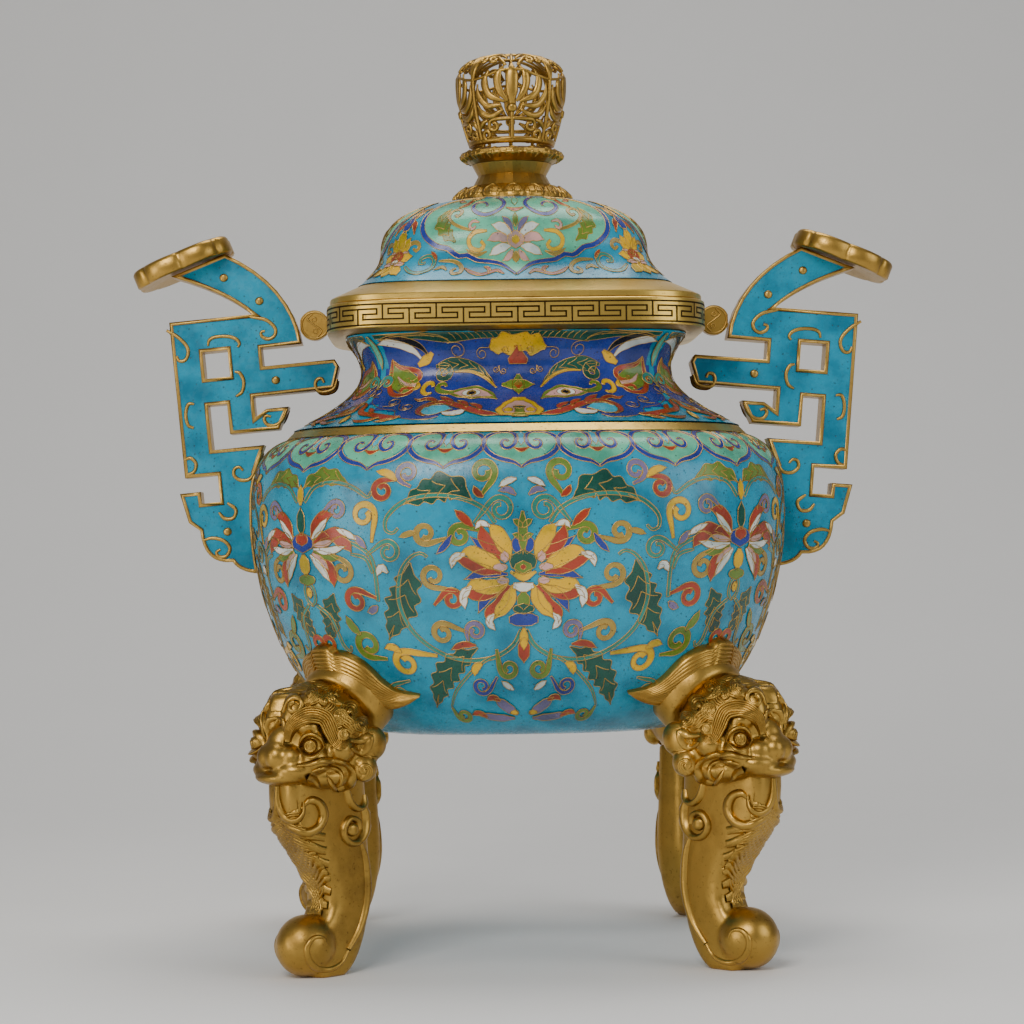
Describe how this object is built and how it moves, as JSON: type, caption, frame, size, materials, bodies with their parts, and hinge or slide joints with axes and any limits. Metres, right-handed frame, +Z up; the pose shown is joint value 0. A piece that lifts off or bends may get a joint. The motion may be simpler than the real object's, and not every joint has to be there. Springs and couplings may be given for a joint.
{
  "type": "covered incense burner",
  "caption": "Square-shouldered enamelled vessel with a lift-off domed cover, pierced finial, upright fret handles and lion-mask legs.",
  "frame": {"origin": "on the ground under the middle of the vessel, at the plane of the four feet", "axes": "+Z up; +X towards the right-hand handle as seen from the front; the front face looks towards -Y"},
  "size_m": [0.5126, 0.3536, 0.5989],
  "materials": {
    "enamel": "cloisonne enamel on copper, polished, pitted",
    "gilt_bronze": "fire gilding, warm, worn brown in the hollows",
    "copper": "dull tarnished copper"
  },
  "bodies": {
    "vessel": {"belly_shell": "enamel", "shoulder_band": "gilt_bronze", "neck_shell": "enamel", "mouth_rim": "gilt_bronze", "right_handle_slab": "enamel", "right_handle_ear": "gilt_bronze", "right_taiji_roundel": "gilt_bronze", "right_handle_stud_upper": "copper", "right_handle_stud_lower": "copper", "right_handle_nut_upper": "copper", "right_handle_nut_lower": "copper", "left_handle_slab": "enamel", "left_handle_ear": "gilt_bronze", "left_taiji_roundel": "gilt_bronze", "left_handle_stud_upper": "copper", "left_handle_stud_lower": "copper", "left_handle_nut_upper": "copper", "left_handle_nut_lower": "copper", "front_left_leg_shank": "gilt_bronze", "front_left_lion_mask": "gilt_bronze", "front_left_mane_crest": "gilt_bronze", "front_left_leg_sleeve": "gilt_bronze", "front_left_leg_stud": "copper", "front_left_leg_nut": "copper", "front_right_leg_shank": "gilt_bronze", "front_right_lion_mask": "gilt_bronze", "front_right_mane_crest": "gilt_bronze", "front_right_leg_sleeve": "gilt_bronze", "front_right_leg_stud": "copper", "front_right_leg_nut": "copper", "back_left_leg_shank": "gilt_bronze", "back_left_lion_mask": "gilt_bronze", "back_left_mane_crest": "gilt_bronze", "back_left_leg_sleeve": "gilt_bronze", "back_left_leg_stud": "copper", "back_left_leg_nut": "copper", "back_right_leg_shank": "gilt_bronze", "back_right_lion_mask": "gilt_bronze", "back_right_mane_crest": "gilt_bronze", "back_right_leg_sleeve": "gilt_bronze", "back_right_leg_stud": "copper", "back_right_leg_nut": "copper"},
    "cover": {"cover_dome": "enamel", "cover_rim": "gilt_bronze", "cover_locating_flange": "copper", "finial_ring_nut": "copper", "finial_base": "gilt_bronze", "finial_neck": "gilt_bronze", "finial_lotus_collar": "gilt_bronze", "finial_basket": "gilt_bronze"},
    "liner": {"ash_liner": "copper"}
  },
  "joints": [
    {"name": "cover_lift", "type": "slide", "parent": "vessel", "child": "cover", "axis": [0, 0, 1], "range_m": [0, 0.4]},
    {"name": "liner_lift", "type": "slide", "parent": "vessel", "child": "liner", "axis": [0, 0, 1], "range_m": [0, 0.2]}
  ],
  "couplings": [
    {"joint": "liner_lift", "follows": "cover_lift", "ratio": 0.5}
  ]
}
